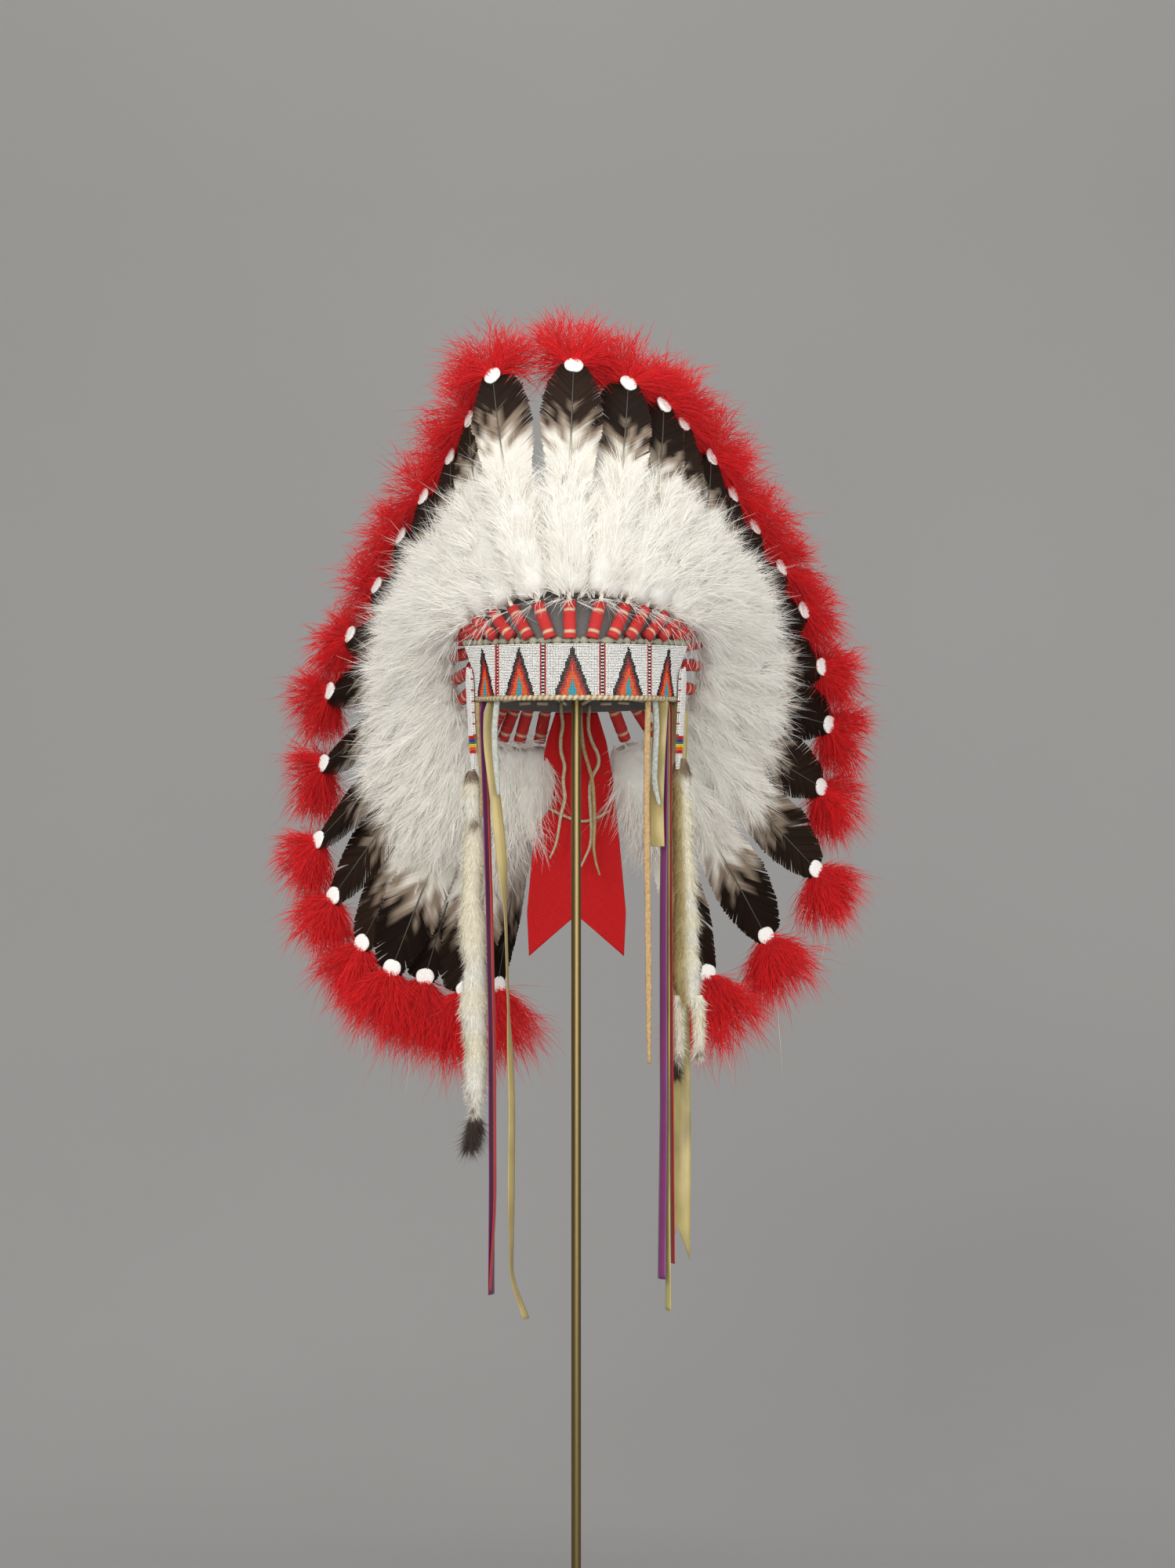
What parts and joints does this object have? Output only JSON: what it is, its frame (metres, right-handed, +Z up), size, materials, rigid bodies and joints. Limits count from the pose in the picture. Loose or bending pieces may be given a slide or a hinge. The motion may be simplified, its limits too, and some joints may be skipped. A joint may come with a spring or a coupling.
{
  "type": "feathered headdress on a pole stand",
  "caption": "Felt cap with a beaded brow band and a full fan of dark-tipped feathers with white down and red tip plumes, ribbons and ermine drops, on a slim brass pole stand.",
  "frame": {"origin": "middle of the stand base's underside", "axes": "+Z up along the pole, the brow band faces -Y, +X is to the right as seen from the front"},
  "size_m": [0.5232, 0.4677, 1.1143],
  "materials": {
    "brass_pole": "slim polished brass rod with long soft highlights",
    "stand_metal": "plain dark satin weighted disc",
    "felt": "dark grey wool felt, matted fibres",
    "beadwork": "white seed beads in columns with stepped triangles and stripes",
    "leather": "tan laced leather, dull and slightly soiled",
    "feather": "white feathers with dark brown tips, white down at their bases and red plumes at the tips",
    "ermine": "short cream fur",
    "red_cloth": "felted red wool cloth",
    "gold_satin": "gold and olive satin ribbon",
    "purple_satin": "purple satin ribbon",
    "red_satin": "red satin ribbon"
  },
  "bodies": {
    "root": {"stand_base": "stand_metal", "stand_pole": "brass_pole", "crown_pad": "felt", "felt_cap": "felt", "brow_band": "beadwork", "band_top_binding": "leather", "band_bottom_binding": "leather", "beaded_drop_left": "beadwork", "beaded_drop_right": "beadwork", "ermine_left": "ermine", "ermine_right": "ermine", "cloth_trailer": "red_cloth", "gold_ribbon_left": "gold_satin", "red_ribbon_left": "red_satin", "purple_ribbon_left": "purple_satin", "gold_ribbon_right": "gold_satin", "purple_ribbon_right": "purple_satin", "yellow_ribbon_right": "gold_satin", "red_ribbon_right": "red_satin", "olive_ribbon_right": "gold_satin", "thong_left": "leather", "thong_right": "leather", "thong_short": "leather", "lacing_cord": "leather", "leather_strap_left": "leather", "leather_strap_right": "leather", "chin_tie_left": "leather", "chin_tie_right": "leather", "feather_01": "feather", "feather_02": "feather", "feather_03": "feather", "feather_04": "feather", "feather_05": "feather", "feather_06": "feather", "feather_07": "feather", "feather_08": "feather", "feather_09": "feather", "feather_10": "feather", "feather_11": "feather", "feather_12": "feather", "feather_13": "feather", "feather_14": "feather", "feather_15": "feather", "feather_16": "feather", "feather_17": "feather", "feather_18": "feather", "feather_19": "feather", "feather_20": "feather", "feather_21": "feather", "feather_22": "feather", "feather_23": "feather", "feather_24": "feather", "feather_25": "feather", "feather_26": "feather", "feather_27": "feather", "feather_28": "feather", "feather_29": "feather", "feather_30": "feather", "feather_31": "feather"}
  },
  "joints": []
}
